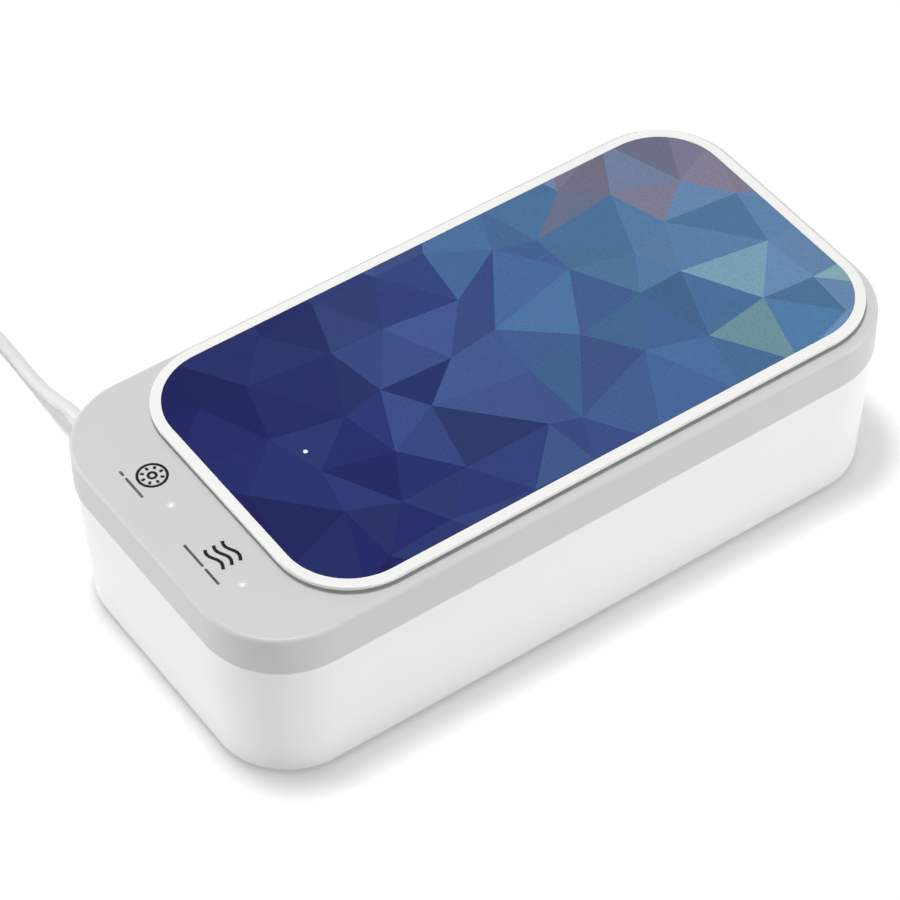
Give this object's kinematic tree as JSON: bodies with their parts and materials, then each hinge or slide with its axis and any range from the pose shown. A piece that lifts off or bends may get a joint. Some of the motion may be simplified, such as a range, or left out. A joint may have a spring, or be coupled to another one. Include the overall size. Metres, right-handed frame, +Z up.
{
  "type": "uv sanitizer box",
  "caption": "Tapered box with a hinged lid: an ultrasonic tank and ultraviolet lamps inside, touch symbols and a raised wireless charging pad on top, and a cord at the back.",
  "frame": {"origin": "on the table, in the middle of the footprint with the hinges and without the cord", "axes": "+X along the box, away from the touch symbols; +Y towards the hinges and the cord; +Z up"},
  "size_m": [0.248, 0.2662, 0.0584],
  "materials": {
    "shell_white": "satin moulded ABS",
    "lid_grey": "fine matt texture",
    "pad_white": "smooth moulded ABS",
    "panel_print": "printed acrylic sheet",
    "liner_white": "smooth moulded ABS",
    "steel_sheet": "drawn and polished",
    "steel_pin": "zinc plated",
    "rubber_grey": "moulded",
    "silicone": "translucent",
    "ceramic_disc": "fired ceramic, silvered",
    "board_green": "solder resist",
    "board_white": "white solder resist",
    "wire_black": "insulated wire",
    "part_black": "moulded epoxy",
    "winding": "enamelled copper",
    "can_blue": "sleeved can",
    "alu": "polished",
    "connector_white": "moulded nylon",
    "clear_window": "clear",
    "lamp_white": "lamp package",
    "magnet": "nickel plated",
    "foam_black": "conductive foam",
    "ferrite_grey": "sintered ferrite",
    "acetal": "turned acetal",
    "cord_white": "soft moulded jacket",
    "tie_white": "hook-and-loop strap"
  },
  "bodies": {
    "base": {"base_shell": "shell_white", "bottom_cover": "shell_white", "case_screws": "steel_pin", "feet": "rubber_grey", "tank": "steel_sheet", "tank_gasket": "silicone", "tank_bezel": "liner_white", "piezo_disc": "ceramic_disc", "piezo_leads": "wire_black", "main_board": "board_green", "board_screws": "steel_pin", "driver_transformer": "winding", "capacitors": "can_blue", "heat_sink": "alu", "power_transistor": "part_black", "board_connectors": "connector_white", "power_socket": "steel_sheet", "sensor_board": "board_green", "hall_sensor": "part_black", "hinge_pin_left": "steel_pin", "hinge_pin_right": "steel_pin", "hinge_bush": "acetal", "harness_base": "wire_black", "power_plug": "cord_white", "power_plug_shell": "steel_sheet", "cord_lead": "cord_white", "cord_coil": "cord_white", "cord_tie": "tie_white", "usb_plug": "cord_white", "usb_plug_shell": "steel_sheet"},
    "lid": {"lid_cover": "lid_grey", "lid_liner": "liner_white", "liner_screws": "steel_pin", "lid_seal": "silicone", "uv_window": "clear_window", "uv_reflector": "alu", "uv_board": "board_white", "uv_leds": "lamp_white", "lid_magnet": "magnet", "touch_board": "board_green", "touch_pads": "foam_black", "indicator_lights": "clear_window", "indicator_leds": "lamp_white", "charger_board": "board_green", "charger_parts": "part_black", "lid_board_screws": "steel_pin", "charge_light": "clear_window", "pad_frame": "pad_white", "pad_panel": "panel_print", "charging_coil": "winding", "ferrite_plate": "ferrite_grey", "harness_lid": "wire_black"}
  },
  "joints": [
    {"name": "lid_hinge", "type": "hinge", "parent": "base", "child": "lid", "pos_m": [0, 0.05065, 0.043], "axis": [-1, 0, 0], "range_deg": [0, 100]}
  ]
}
